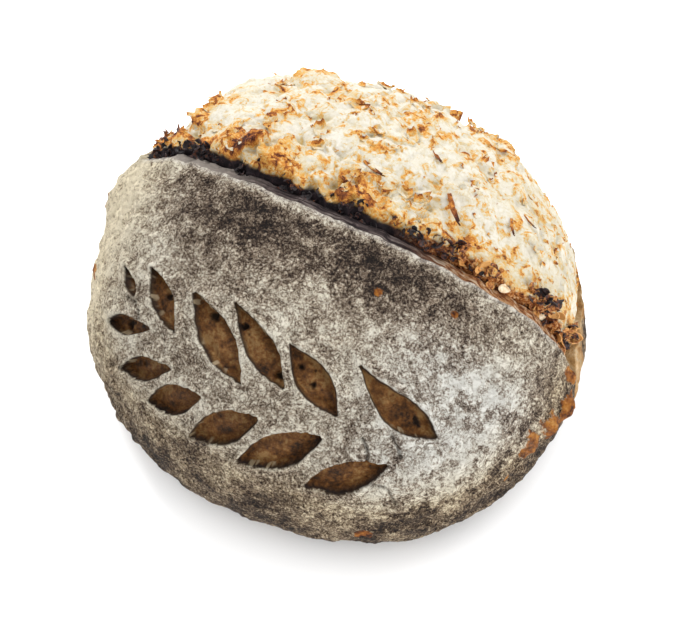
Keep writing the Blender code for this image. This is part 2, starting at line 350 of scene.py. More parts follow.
def leaf_frame(leaf):
    """Middle, direction along, direction across and sizes of a leaf cut on the crown."""
    along_stalk, out, length, width, turn, belly, bow = leaf
    x = along_stalk * MM
    y = STALK_Y + STALK_BOW * (x - STALK_X) ** 2 + out * MM
    step = 1 * MM
    middle, east, north = crown_point(np.array((x, x + step, x)), np.array((y, y, y + step)))
    normal = unit(np.cross(east - middle, north - middle))
    heading = np.array((math.cos(math.radians(turn)), math.sin(math.radians(turn)), 0.0))
    along = unit(heading - normal * heading.dot(normal))
    return middle, along, np.cross(normal, along), length * MM, width * MM, belly, bow * MM


def cut_leaves(points):
    """Snap the grid to the leaves' outlines. Returns the moved points and how far inside each is (m)."""
    inside = np.full(points.shape[:2], -1.0)
    for leaf in LEAVES:
        middle, along, across, length, width, belly, bow = leaf_frame(leaf)
        local = points - middle
        far = np.abs(np.sum(local * np.cross(along, across), axis=-1)) > 30 * MM
        ragged = 0.35 * MM * rough_sum(points, 4 * MM, 2, 21)
        u = np.sum(local * along, axis=-1) / length + 0.5
        v = np.sum(local * across, axis=-1) + ragged
        share = np.clip(u, 0.0, 1.0)
        turn_share = share ** (math.log(0.5) / math.log(belly))
        tip = np.clip(4.0 * share * (1.0 - share), 1e-6, 1.0) ** 0.1
        half = 0.5 * width * tip * np.sin(np.pi * turn_share)
        centre = bow * np.sin(np.pi * share)
        edge = half - np.abs(v - centre)
        edge = np.where((u < 0.0) | (u > 1.0) | far, -1.0, edge)
        near = np.abs(edge) < 0.48 * CELL
        points = points + across * (np.sign(v - centre) * np.where(near, edge, 0.0))[..., None]
        inside = np.maximum(inside, np.where(near, 0.0, edge))
    return points, inside


def near_spots(points, spots):
    """1 at the middle of a spot, fading to 0 at its ragged edge."""
    total = np.zeros(points.shape[:-1])
    ragged = 1.0 + 0.45 * rough_sum(points, 4 * MM, 2, 17)
    for middle, reach in spots:
        away = np.linalg.norm(points - np.array(middle) * MM, axis=-1) / (reach * MM)
        total = np.maximum(total, smooth_step(1.6 * (1.0 - away * ragged)))
    return total


def near_cracks(points):
    """1 in the middle of a crack, fading to 0 beside it."""
    total = np.zeros(points.shape[:-1])
    wander = 0.5 * MM * rough_sum(points, 4 * MM, 2, 19)
    for crack in CRACKS:
        for start, end in zip(crack[:-1], crack[1:]):
            start, run = np.array(start) * MM, (np.array(end) - np.array(start)) * MM
            local = points[..., :2] - start
            share = np.clip(local @ run / run.dot(run), 0.0, 1.0)
            away = np.linalg.norm(local - share[..., None] * run, axis=-1) + wander
            shown = smooth_step(1.0 - np.abs(away) / CRACK_REACH) * (points[..., 2] > 50 * MM)
            total = np.maximum(total, shown)
    return total


def near_bubbles(points):
    """1 inside a bubble that opened in a leaf cut, fading to 0 at its ragged edge."""
    total = np.zeros(points.shape[:-1])
    ragged = 1.0 + 0.6 * rough_sum(points, 2.4 * MM, 2, 18)
    for number, place, aside, radius in BUBBLES:
        middle, along, across, length = leaf_frame(LEAVES[number])[:4]
        local = points - middle - along * (place - 0.5) * length - across * aside * MM
        flat = np.hypot(local @ along, local @ across) / (radius * MM) * ragged
        shown = smooth_step((1.15 - flat) / 0.35) * (np.linalg.norm(local, axis=-1) < 9 * MM)
        total = np.maximum(total, shown)
    return total


def front_crust():
    """The floured front: from inside the slash, over the ear's lip, down to the middle of the base."""
    shares = np.concatenate((np.linspace(0.0, FRONT_SHOWN, FRONT_ROWS),
                             np.linspace(FRONT_SHOWN, 1.0, UNDER_ROWS)[1:]))
    lip = LIP_TURN + 0.006 * rough_sum(section_point(STATIONS, LIP_TURN), 7 * MM, 3, 43) * OPEN[:, 0]
    skin, run = section_rows(STATIONS, lip, np.full_like(lip, 1.5 * math.pi), shares)
    normal = outward(skin)
    skin, inside = cut_leaves(skin)
    open_here = np.broadcast_to(OPEN, run.shape)
    bubbles, cracks, bare = near_bubbles(skin), near_cracks(skin), near_spots(skin, BARE_SPOTS)
    ear = EAR_RISE * (EAR_AT_ENDS + (1.0 - EAR_AT_ENDS) * open_here) * np.exp(-run / EAR_REACH)
    wall = smooth_step(inside / (1.2 * MM))
    belly = smooth_step((inside - 1 * MM) / (6 * MM))
    floor = LEAF_DEPTH * wall - LEAF_BELLY * belly + 0.25 * rough_sum(skin, 5 * MM, 2, 22)
    puff = RIM_PUFF * np.exp(-(np.clip(-inside, 0.0, None) / PUFF_REACH) ** 2) * (inside > -20 * MM)
    crumbs, grit = crust_relief(skin)
    torn = TORN_CRUMBS * np.clip(rough_sum(skin, 2.6 * MM, 2, 23), 0.0, 1.0)
    torn = torn * smooth_step(1.0 - inside / (2.6 * MM))
    torn = torn * smooth_step(0.5 + 1.6 * rough(skin, 12 * MM, 24))
    lift = ear - CRACK_DEPTH * cracks + 0.5 * bare * crumbs
    lift = lift + np.where(inside > 1e-6, -floor + torn - BUBBLE_DEPTH * bubbles, grit + puff)
    surface = skin + normal * (lift * MM + unevenness(skin))[..., None]
    # The cut face behind the lip: back and down into the slash
    depth = np.linspace(1.0, 0.0, FACE_ROWS)[None, :-1, None]
    back = unit(skin[:, :1] - skin[:, 3:4])
    opened = OPEN[:, :, None]
    width = (FACE_WIDTH + FACE_OPENS * opened) * MM
    drop = (FACE_DROP + FACE_SINKS * opened) * MM
    drawn_out = surface[:, :1] * np.array((0.35, 1.0, 1.0)) + depth * (6 * MM)
    ripple = 0.5 * MM * rough_sum(drawn_out, 2.5 * MM, 2, 31)
    sunk = drop * depth ** 0.85 + ripple[..., None] * depth
    face = surface[:, :1] + back * width * depth - normal[:, :1] * sunk
    points = np.concatenate((face, surface), axis=1)
    behind = np.zeros(face.shape[:2])
    away = np.concatenate((-np.broadcast_to(width[..., 0] * depth[..., 0], face.shape[:2]), run), axis=1)
    on_face = np.concatenate((behind + 1.0, np.zeros(run.shape)), axis=1)

    def whole(values):
        return np.concatenate((behind, values), axis=1)

    fields = {
        'from_lip': away / MM,
        'leaf': whole(np.clip(inside / MM, -4.0, 20.0)),
        'torn_rim': whole(torn * (inside > 0.0)),
        # Where painted shade fills the opened bubbles and the cracks
        'dark': whole(np.maximum(bubbles * (inside > 0.0), 0.8 * cracks)),
        'bare': whole(bare),
        'crumbs': whole(crumbs),
        'slash': on_face * np.broadcast_to(OPEN, away.shape),
    }
    return wedge('front_crust', points, fields, ENDS, FRONT_HEART)


def back_crust():
    """The plain floured back and its torn upper edge."""
    shares = np.concatenate((np.linspace(0.0, BACK_SHOWN, BACK_ROWS),
                             np.linspace(BACK_SHOWN, 1.0, UNDER_ROWS)[1:]))
    ragged = 0.035 * rough_sum(section_point(STATIONS, FAR_TURN), 9 * MM, 3, 41) * OPEN[:, 0]
    skin, run = section_rows(STATIONS, FAR_TURN + ragged, np.full_like(LIP_TURN, -0.5 * math.pi), shares)
    normal = outward(skin)
    open_here = np.broadcast_to(OPEN, run.shape)
    edge = BACK_EDGE[0] * open_here * np.exp(-run / BACK_EDGE[1])
    ear = EAR_RISE * MM * EAR_AT_ENDS * (1.0 - open_here) * np.exp(-run / EAR_REACH)
    crumbs, grit = crust_relief(skin)
    surface = skin + normal * (unevenness(skin) + edge + ear + grit * MM)[..., None]
    fields = {'from_edge': run / MM, 'opened': open_here, 'crumbs': crumbs}
    return wedge('back_crust', surface, fields, ENDS, BACK_HEART)


def torn_sheets(points, relief, layers, seed):
    """Overlapping torn sheets of crumb, each lifted along one edge. Returns relief (mm), rim and tone."""
    rng = np.random.default_rng(seed)
    flat, height = points.reshape(-1, 3), relief.ravel()
    rim, tone = np.zeros(len(flat)), np.zeros(len(flat))
    ragged = rough_sum(points, 5 * MM, 3, seed).ravel()
    for count, smallest, largest, steep, first_x, last_x in layers:
        inside = np.flatnonzero((flat[:, 0] > first_x * MM) & (flat[:, 0] < last_x * MM))
        for middle in flat[rng.choice(inside, count)]:
            reach = rng.uniform(smallest, largest)
            lifted = unit(rng.normal(size=3) + np.array((-0.2, 0.5, 0.2)))
            slope, seat = steep * rng.uniform(0.5, 1.2), rng.uniform(-0.6, 0.5)
            shade, strength = rng.random(2)
            local = (flat - middle) / (reach * MM)
            close = np.flatnonzero(np.sum(local ** 2, axis=1) < 2.2)
            local, bite = local[close], 0.28 * ragged[close]
            away = np.linalg.norm(local * np.array((0.8, 1.15, 1.15)), axis=1) + bite
            lean = local @ lifted
            own = reach * slope * (lean - 0.35 * away ** 2) + seat
            higher = (away < 1.0) & (own > height[close])
            picked = close[higher]
            height[picked] = own[higher]
            edge = smooth_step((lean[higher] + 0.5 * away[higher] - 0.65) / 0.7)
            rim[picked] = (0.25 + 0.75 * strength) * edge
            tone[picked] = shade
    shape = points.shape[:-1]
    return height.reshape(shape), rim.reshape(shape), tone.reshape(shape)


def bloom():
    """The torn crumb that pushed up behind the slash, burnt where it meets the ear."""
    opened = OPEN[TORN]
    skin, run = section_rows(STATIONS[TORN], LIP_TURN[TORN], FAR_TURN[TORN] - 0.07 * opened[:, 0],
                             np.linspace(0.0, 1.0, BLOOM_ROWS))
    normal = outward(skin)
    length = run[:, -1:]
    near = run / MM
    right = smooth_step((skin[..., 0] - 30 * MM) / (45 * MM))
    # Sheets: how many, smallest and largest reach, slope, and the stretch of X they lie on, in millimetres
    layers = ((30, 12, 20, 0.44, -110, 65), (90, 6, 12, 0.40, -110, 95), (210, 2.5, 6, 0.36, -110, 120),
              (260, 1.5, 4, 0.32, 30, 120))
    puffs = np.zeros(near.shape)
    for size, rise, seed in ((20, 3.4, 71), (9, 1.9, 72), (4, 0.8, 73)):
        warp = 0.3 * size * MM * np.stack([rough(skin, size * MM, seed + k) for k in (5, 6, 7)], -1)
        puffs += rise * np.sqrt(np.abs(rough(skin + warp, size * MM, seed)))
    start = puffs * (1.0 - 0.45 * right) - 2.6
    relief, rim, tone = torn_sheets(skin, start.copy(), layers, 66)
    relief = relief + 0.65 * (start + 1.0) + 0.5 * np.abs(rough_sum(skin, 2.6 * MM, 2, 63))
    relief = relief * (1.0 - 0.3 * right)
    ragged = near + 1.8 * rough_sum(skin, 5 * MM, 3, 64)
    right_rags = smooth_step((skin[..., 0] - 25 * MM) / (30 * MM)) * (0.6 + rough(skin, 9 * MM, 67))
    ragged = ragged - 3.0 * right_rags
    body = smooth_step((ragged - SHEETS[0]) / SHEETS[1])
    rise = -TRENCH_DEPTH + BANK_RISE * smooth_step((ragged - BANK[0]) / BANK[1])
    crest = np.exp(-((ragged - CREST[0]) / CREST[1]) ** 2)
    burnt = BURNT_CREST * np.abs(rough_sum(skin, 3.0 * MM, 3, 65)) * crest
    far_drop = -FAR_SINK * smooth_step(1.0 - (length - run) / FAR_REACH)
    lift = (rise * opened - ENDS_SINK * (1.0 - opened) + (relief * body + burnt) * opened + far_drop) * MM
    surface = skin + normal * (lift + unevenness(skin))[..., None]
    fields = {'from_lip': ragged, 'rim': rim * body, 'tone': tone, 'relief': relief}
    piece = wedge('torn_bloom', surface, fields, (surface[0, 0], surface[-1, 0]), BLOOM_HEART)
    return piece, surface, normal, ragged, rim


# ---------------------------------------------------------------------------------------------------------
# Materials
EASED = {'interpolation_type': 'SMOOTHSTEP'}        # a value, where it starts and ends, and its two levels
TIMES = {'operation': 'MULTIPLY'}
PLUS_SHARE = {'operation': 'MULTIPLY_ADD'}          # a part, its share, and what it is added to
COATED = {'data_type': 'RGBA'}                      # 0 how much shows, 6 the colour below, 7 the coat
FILTERED = {'data_type': 'RGBA', 'blend_type': 'MULTIPLY'}


def linear(code):
    """An sRGB hex colour as linear values."""
    channels = [int(code[k:k + 2], 16) / 255.0 for k in (1, 3, 5)]
    return tuple(c / 12.92 if c <= 0.04045 else ((c + 0.055) / 1.055) ** 2.4 for c in channels) + (1.0,)


def feed(tree, made, inputs):
    """Link or set a node's inputs, in their order or by name or number. A hex code is a colour."""
    for key, value in inputs.items() if isinstance(inputs, dict) else enumerate(inputs):
        if isinstance(value, bpy.types.NodeSocket):
            tree.links.new(value, made.inputs[key])
        else:
            made.inputs[key].default_value = linear(value) if isinstance(value, str) else value


def node(tree, kind, settings, inputs, out=0, stops=()):
    """Add a shader node with its settings, inputs and colour stops. Returns one of its outputs."""
    made = tree.nodes.new('ShaderNode' + kind)
    for name, value in settings.items():
        setattr(made, name, value)
    for number, (place, code) in enumerate(stops):
        elements = made.color_ramp.elements
        element = elements[number] if number < 2 else elements.new(place)
        element.position = place
        element.color = linear(code)
    feed(tree, made, inputs)
    return made.outputs[out]


def region(tree, *ramps):
    """Where a look shows: the product of eased ramps."""
    shown = 1.0
    for ramp in ramps:
        shown = node(tree, 'Math', TIMES, (node(tree, 'MapRange', EASED, ramp), shown))
    return shown


def start_material(name):
    material = bpy.data.materials.new(name)
    material.use_nodes = True
    return material, material.node_tree, material.node_tree.nodes['Principled BSDF']


# From bare dark crust in the pinholes to thick flour
FLOURED = (
    (0.0, '#17100d'), (0.12, '#2a1f1a'), (0.22, '#40332b'), (0.33, '#5b4d43'), (0.44, '#7b6d61'),
    (0.54, '#958779'), (0.64, '#aea294'), (0.74, '#c5bdb1'), (0.84, '#dad6cb'), (1.0, '#efede5'))
HEARTH_WARMTH = '#fff3da'
FLOURED_GLOSS, FLOURED_BUMP = 0.3, 1.2 * MM


def floured(tree, place, x, z, extra, cooler=0.0):
    """Flour baked on to brown crust: pale dust broken by dark pinholes. Returns its colour and its relief."""
    # More flour and warmer at the left end; darker and browner towards the hearth, as painted shade where the
    # crust turns under away from the light above
    left = node(tree, 'MapRange', EASED, (x, -65 * MM, -110 * MM))
    hearth = node(tree, 'MapRange', EASED, (z, 80 * MM, 36 * MM))
    far_end = node(tree, 'MapRange', EASED, (x, 85 * MM, 110 * MM))
    low = node(tree, 'MapRange', EASED, (z, 85 * MM, 35 * MM))
    crumbs = node(tree, 'Attribute', {'attribute_name': 'crumbs'}, (), 'Fac')
    # Pinholes of about 1 mm, creases 3 mm apart, patches of 8.5 mm and slow clouds of 26 mm
    speck = node(tree, 'TexNoise', {}, {
        'Vector': place, 'Scale': 1.0 / (1.15 * MM), 'Detail': 5.0, 'Roughness': 0.85})
    wrinkle = node(tree, 'TexNoise', {}, {
        'Vector': place, 'Scale': 1.0 / (3.0 * MM), 'Detail': 4.0, 'Roughness': 0.7, 'Distortion': 0.8})
    from_fold = node(tree, 'Math', {'operation': 'SUBTRACT'}, (wrinkle, 0.5))
    from_fold = node(tree, 'Math', {'operation': 'ABSOLUTE'}, (from_fold,))
    crease = node(tree, 'MapRange', EASED, (from_fold, 0.0, 0.075))
    patch = node(tree, 'TexNoise', {}, {
        'Vector': place, 'Scale': 1.0 / (8.5 * MM), 'Detail': 6.0, 'Roughness': 0.68, 'Distortion': 0.4})
    cloud = node(tree, 'TexNoise', {}, {'Vector': place, 'Scale': 1.0 / (26.0 * MM)})
    level = -1.76
    for part, share in ((left, 0.42), (hearth, -0.35), (far_end, -0.08), (extra, 1.0), (speck, 2.5),
                        (crease, 0.30), (patch, 1.25), (cloud, 0.7), (crumbs, 0.10)):
        level = node(tree, 'Math', PLUS_SHARE, (part, share, level))
    height = node(tree, 'Math', PLUS_SHARE, (crease, 0.35, speck))
    height = node(tree, 'Math', PLUS_SHARE, (patch, 0.5, height))
    warmth = 0.45
    for part, share in ((left, 0.55), (low, 1.3), (cooler, 1.0)):
        warmth = node(tree, 'Math', PLUS_SHARE, (part, share, warmth))
    dusted = node(tree, 'ValToRGB', {}, (level,), stops=FLOURED)
    return node(tree, 'Mix', FILTERED, {0: warmth, 6: dusted, 7: HEARTH_WARMTH}, 2), height


def floured_front_material():
    """Rye-dusted crust, baked hard: matt and gritty, smoky near the ear, glossier brown skin in the cuts."""
    material, tree, shader = start_material('rye-floured hearth crust')
    place = node(tree, 'TexCoord', {}, (), 'Object')
    x, y, z = node(tree, 'SeparateXYZ', {}, (place,)).node.outputs
    from_lip, leaf, slash, bare, dark, torn_rim = (
        node(tree, 'Attribute', {'attribute_name': name}, (), 'Fac')
        for name in ('from_lip', 'leaf', 'slash', 'bare', 'dark', 'torn_rim'))
    # Smoky below the ear, thick and patchy flour towards the right end, and a painted highlight on the
    # rounded crust round each leaf
    smoky = region(tree, (from_lip, 1.0, 6.0), (from_lip, 14.0, 40.0, 1.0, 0.0),
                   (x, -100 * MM, -40 * MM), (x, 40 * MM, 100 * MM, 1.0, 0.0))
    thick = region(tree, (x, 20 * MM, 75 * MM), (from_lip, 12.0, 40.0), (z, 40 * MM, 62 * MM))
    # Painted highlight: the crust lightened just outside each leaf cut, where its rounded edge would catch
    # the light
    rim_highlight = region(tree, (leaf, -1.8, -0.1), (leaf, 0.0, 0.1, 1.0, 0.0))
    clumps = node(tree, 'TexNoise', {}, {
        'Vector': place, 'Scale': 1.0 / (8.0 * MM), 'Detail': 4.0, 'Roughness': 0.62})
    blotch = node(tree, 'Math', TIMES, (thick, region(tree, (clumps, 0.46, 0.58))))
    extra = 0.0
    for part, share in ((smoky, -0.38), (thick, 0.26), (blotch, -0.34), (rim_highlight, 0.12)):
        extra = node(tree, 'Math', PLUS_SHARE, (part, share, extra))
    dusted, height = floured(tree, place, x, z, extra, node(tree, 'Math', TIMES, (thick, -0.45)))
    # Bare lumps that baked orange, 4 mm mottled and broken by 1.3 mm gaps in the flour
    lumps = node(tree, 'TexNoise', {}, {
        'Vector': place, 'Scale': 1.0 / (4.0 * MM), 'Detail': 3.0, 'Roughness': 0.6})
    orange = node(tree, 'ValToRGB', {}, (lumps,), stops=(
        (0.34, '#3f1d0c'), (0.46, '#96541b'), (0.58, '#c47d2f'), (0.74, '#e0a85c')))
    gaps = node(tree, 'TexNoise', {}, {
        'Vector': place, 'Scale': 1.0 / (1.3 * MM), 'Detail': 3.0, 'Roughness': 0.7})
    gaps = node(tree, 'Math', PLUS_SHARE, (gaps, 1.1, bare))
    broken = region(tree, (gaps, 0.67, 1.05, 0.0, 0.92), (bare, 0.0, 0.15))
    # White flour on the ear's edge
    crest = region(tree, (from_lip, 0.5, 2.0, 1.0, 0.0), (height, 0.8, 1.5, 0.2, 1.0),
                   (x, -112 * MM, -96 * MM), (x, 98 * MM, 112 * MM, 1.0, 0.0))
    # The cut leaves: brown skin, mottled at 9 and 1.8 mm, with painted shade darkening it under the edges,
    # pale where the crust tore
    broad = node(tree, 'TexNoise', {}, {
        'Vector': place, 'Scale': 1.0 / (9.0 * MM), 'Detail': 3.0, 'Roughness': 0.6})
    pores = node(tree, 'TexNoise', {}, {
        'Vector': place, 'Scale': 1.0 / (1.8 * MM), 'Detail': 4.0, 'Roughness': 0.7})
    # Painted shade: the lower leaves, towards the front, a little darker
    shade = -0.25
    for part, share in ((broad, 1.0), (pores, 0.75), (region(tree, (y, -66 * MM, -76 * MM)), -0.03)):
        shade = node(tree, 'Math', PLUS_SHARE, (part, share, shade))
    skin = node(tree, 'ValToRGB', {}, (shade,), stops=(
        (0.40, '#33200f'), (0.52, '#69421e'), (0.64, '#8a5b2c'), (0.78, '#a98250')))
    # Painted shade: the skin darkened to near black just inside each cut's edge, where the wall falls in
    # shadow
    edge_shade = node(tree, 'MapRange', EASED, (leaf, 0.2, 1.3, 0.92, 0.0))
    skin = node(tree, 'Mix', COATED, {0: edge_shade, 6: skin, 7: '#1d110a'}, 2)
    torn = node(tree, 'MapRange', EASED, (torn_rim, 0.10, 0.4, 0.0, 0.8))
    skin = node(tree, 'Mix', COATED, {0: torn, 6: skin, 7: '#c9b491'}, 2)
    is_leaf = node(tree, 'MapRange', EASED, (leaf, 0.02, 0.3))
    # The cut face inside the slash, drawn out in streaks of 1.6 mm along the lip
    drawn_out = node(tree, 'VectorMath', TIMES, (place, (0.12, 1.0, 1.0)))
    streak = node(tree, 'TexNoise', {}, {
        'Vector': drawn_out, 'Scale': 1.0 / (1.6 * MM), 'Detail': 3.0, 'Roughness': 0.65})
    char = node(tree, 'ValToRGB', {}, (streak,), stops=(
        (0.34, '#150e10'), (0.46, '#362b2c'), (0.58, '#655856'), (0.74, '#a2978f')))
    amber = node(tree, 'ValToRGB', {}, (streak,), stops=(
        (0.34, '#3f1c10'), (0.44, '#a05c2e'), (0.54, '#d09a62'), (0.66, '#efdcbf')))
    dusty = node(tree, 'MapRange', EASED, (x, -30 * MM, -78 * MM, 0.0, 0.75))
    face = node(tree, 'Mix', COATED, {0: dusty, 6: char, 7: '#c0b5aa'}, 2)
    glowing = node(tree, 'MapRange', EASED, (x, 25 * MM, 70 * MM, 0.0, 0.85))
    face = node(tree, 'Mix', COATED, {0: glowing, 6: face, 7: amber}, 2)
    on_face = region(tree, (from_lip, -0.7, -0.1, 1.0, 0.0), (slash, 0.0, 0.5))
    # Painted shade: the opened bubbles and the cracks filled near black, as deep holes look
    pit_shade = node(tree, 'Math', TIMES, (dark, 0.93))
    colour = dusted
    for share, coat in ((broken, orange), (crest, '#e6e0d8'), (is_leaf, skin), (on_face, face),
                        (pit_shade, '#140c08')):
        colour = node(tree, 'Mix', COATED, {0: share, 6: colour, 7: coat}, 2)
    feed(tree, shader, {
        'Base Color': colour,
        'Roughness': node(tree, 'MapRange', EASED, (is_leaf, 0.0, 1.0, 0.9, 0.5)),
        'Specular IOR Level': FLOURED_GLOSS,
        'Normal': node(tree, 'Bump', {}, {'Height': height, 'Distance': FLOURED_BUMP, 'Strength': 1.0})})
    return material


def floured_back_material():
    """The same crust without cuts: floured, but bare and streaked where the bloom pulled away from it."""
    material, tree, shader = start_material('floured back crust')
    place = node(tree, 'TexCoord', {}, (), 'Object')
    apart = node(tree, 'SeparateXYZ', {}, (place,)).node.outputs
    opened, from_edge = (
        node(tree, 'Attribute', {'attribute_name': name}, (), 'Fac') for name in ('opened', 'from_edge'))
    dusted, height = floured(tree, place, apart['X'], apart['Z'], 0.0)
    streak = node(tree, 'TexNoise', {}, {
        'Vector': place, 'Scale': 1.0 / (5.0 * MM), 'Detail': 4.0, 'Roughness': 0.65})
    tan = node(tree, 'ValToRGB', {}, (streak,), stops=(
        (0.3, '#80522e'), (0.44, '#c29257'), (0.58, '#e0bd8c'), (0.76, '#f1e5cc')))
    at_end = node(tree, 'MapRange', EASED, (apart['X'], 75 * MM, 95 * MM))
    pulled = node(tree, 'Math', {'operation': 'ADD'}, (at_end, opened))
    torn_line = node(tree, 'Math', PLUS_SHARE, (streak, 40.0, from_edge))
    bare = region(tree, (torn_line, 26.0, 46.0, 0.95, 0.0), (pulled, 0.0, 1.0))
    feed(tree, shader, {
        'Base Color': node(tree, 'Mix', COATED, {0: bare, 6: dusted, 7: tan}, 2),
        'Roughness': 0.9,
        'Specular IOR Level': FLOURED_GLOSS,
        'Normal': node(tree, 'Bump', {}, {'Height': height, 'Distance': FLOURED_BUMP, 'Strength': 1.0})})
    return material


def crumb_material(name, rim_gain, burnt_edge, baked_on=0.0):
    """Torn crumb baked open: pale matt sheets, toasted gold where they stand up, black at the slash."""
    material, tree, shader = start_material(name)
    place = node(tree, 'TexCoord', {}, (), 'Object')
    rim, tone = (node(tree, 'Attribute', {'attribute_name': field}, (), 'Fac') for field in ('rim', 'tone'))
    # Slow clouds of 11 mm and a torn grain of 2 mm
    cloud = node(tree, 'TexNoise', {}, {
        'Vector': place, 'Scale': 1.0 / (11.0 * MM), 'Detail': 3.0, 'Roughness': 0.55})
    fine = node(tree, 'TexNoise', {}, {
        'Vector': place, 'Scale': 1.0 / (2.0 * MM), 'Detail': 4.0, 'Roughness': 0.75, 'Distortion': 0.8})
    heat = baked_on
    for part, share in ((rim, rim_gain), (cloud, 0.75), (fine, 1.15), (tone, 0.12)):
        heat = node(tree, 'Math', PLUS_SHARE, (part, share, heat))
    if burnt_edge:
        x = node(tree, 'SeparateXYZ', {}, (place,))
        from_lip, relief = (
            node(tree, 'Attribute', {'attribute_name': field}, (), 'Fac') for field in ('from_lip', 'relief'))
        toward = node(tree, 'MapRange', EASED, (from_lip, 8.0, 30.0, 0.26, 0.0))
        left = node(tree, 'MapRange', EASED, (x, -45 * MM, -95 * MM, 0.0, 0.02))
        right = node(tree, 'MapRange', EASED, (x, 20 * MM, 60 * MM))
        golden = node(tree, 'TexNoise', {}, {
            'Vector': place, 'Scale': 1.0 / (6.5 * MM), 'Detail': 4.0, 'Roughness': 0.65, 'Distortion': 1.2})
        golden = node(tree, 'MapRange', EASED, (golden, 0.48, 0.62))
        for part, share in ((toward, 1.0), (left, 1.0), (golden, 0.34), (right, -0.03)):
            heat = node(tree, 'Math', PLUS_SHARE, (part, share, heat))
    colour = node(tree, 'ValToRGB', {}, (node(tree, 'MapRange', EASED, (heat, 0.70, 1.95)),), stops=(
        (0.0, '#dad5ca'), (0.17, '#d2cbb8'), (0.34, '#cdbc98'), (0.5, '#d3a65a'),
        (0.64, '#cd8a3a'), (0.8, '#9c5c2c'), (0.92, '#6e3b20'), (1.0, '#40211a')))
    if burnt_edge:
        # Painted shade: the low hollows between the torn sheets darkened to an olive grey, less so towards
        # the right end
        sunk = region(tree, (relief, 1.4, -0.8, 0.0, 0.65), (x, 0.0, 60 * MM, 1.0, 0.4))
        char = node(tree, 'ValToRGB', {}, (fine,), stops=(
            (0.3, '#0f0b0e'), (0.55, '#231b1f'), (0.8, '#54393a')))
        amber = node(tree, 'ValToRGB', {}, (fine,), stops=(
            (0.36, '#2a120d'), (0.46, '#7d401b'), (0.55, '#c27c3a'), (0.68, '#ecd0a4')))
        glowing = node(tree, 'MapRange', EASED, (x, 20 * MM, 60 * MM, 0.0, 0.9))
        seared = node(tree, 'Mix', COATED, {0: glowing, 6: char, 7: amber}, 2)
        at_slash = node(tree, 'MapRange', EASED, (from_lip, 8.4, 9.8, 1.0, 0.0))
        for share, coat in ((sunk, '#a89768'), (at_slash, seared)):
            colour = node(tree, 'Mix', COATED, {0: share, 6: colour, 7: coat}, 2)
    height = node(tree, 'Math', PLUS_SHARE, (cloud, 0.4, fine))
    feed(tree, shader, {
        'Base Color': colour,
        'Roughness': 0.85,
        'Specular IOR Level': 0.25,
        'Normal': node(tree, 'Bump', {}, {'Height': height, 'Distance': 0.8 * MM, 'Strength': 0.8})})
    return material


def burnt_material():
    """Thin edges burnt to charcoal, with a slight sheen."""
    material, tree, shader = start_material('charred crust edge')
    place = node(tree, 'TexCoord', {}, (), 'Object')
    tone = node(tree, 'Attribute', {'attribute_name': 'tone'}, (), 'Fac')
    fine = node(tree, 'TexNoise', {}, {
        'Vector': place, 'Scale': 1.0 / (1.5 * MM), 'Detail': 3.0, 'Roughness': 0.65})
    heat = node(tree, 'Math', PLUS_SHARE, (tone, 0.5, fine))
    colour = node(tree, 'ValToRGB', {}, (heat,), stops=(
        (0.4, '#0e0b0e'), (0.62, '#2b2226'), (0.76, '#6b3a20'), (0.9, '#b06f36'), (1.0, '#dca561')))
    feed(tree, shader, {
        'Base Color': colour,
        'Roughness': 0.55,
        'Normal': node(tree, 'Bump', {}, {'Height': fine, 'Distance': 0.5 * MM, 'Strength': 0.8})})
    return material


def oat_material():
    """A rolled oat stuck to the crust and toasted: pale, matt, faintly streaked."""
    material, tree, shader = start_material('toasted rolled oat')
    place = node(tree, 'TexCoord', {}, (), 'Object')
    streak = node(tree, 'TexNoise', {}, {
        'Vector': place, 'Scale': 1.0 / (2.0 * MM), 'Detail': 3.0, 'Roughness': 0.6})
    colour = node(tree, 'ValToRGB', {}, (streak,), stops=(
        (0.3, '#b9946b'), (0.5, '#e0caa8'), (0.7, '#f0e4cf')))
    feed(tree, shader, {'Base Color': colour, 'Roughness': 0.8})
    return material


def dress(piece, material):
    piece.data.materials.clear()
    piece.data.materials.append(material)
    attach(piece, "root")


# ---------------------------------------------------------------------------------------------------------
# Camera, floor and light: a short telephoto from high up on the front right, over white paper
CAMERA_AZIMUTH, CAMERA_ELEVATION = math.radians(25.26), math.radians(62.5)
CAMERA_DISTANCE, CAMERA_AIM = 0.765, Vector((5.9, -8.7, 50.0)) * MM
CAMERA_LENS, CAMERA_SENSOR = 85.0, 36.0         # millimetres
PAPER_SIZE, ROOM_LIGHT = 6.0, 0.66
LOAF_MIDDLE = (0.0, 0.0, 0.05)


def area_light(name, place, aim, size, power):
    data = bpy.data.lights.new(name, 'AREA')
    data.size = size
    data.energy = power
    lamp = bpy.data.objects.new(name, data)
    bpy.context.scene.collection.objects.link(lamp)
    lamp.location = place
    lamp.rotation_euler = (Vector(aim) - Vector(place)).to_track_quat('-Z', 'Y').to_euler()
    return lamp


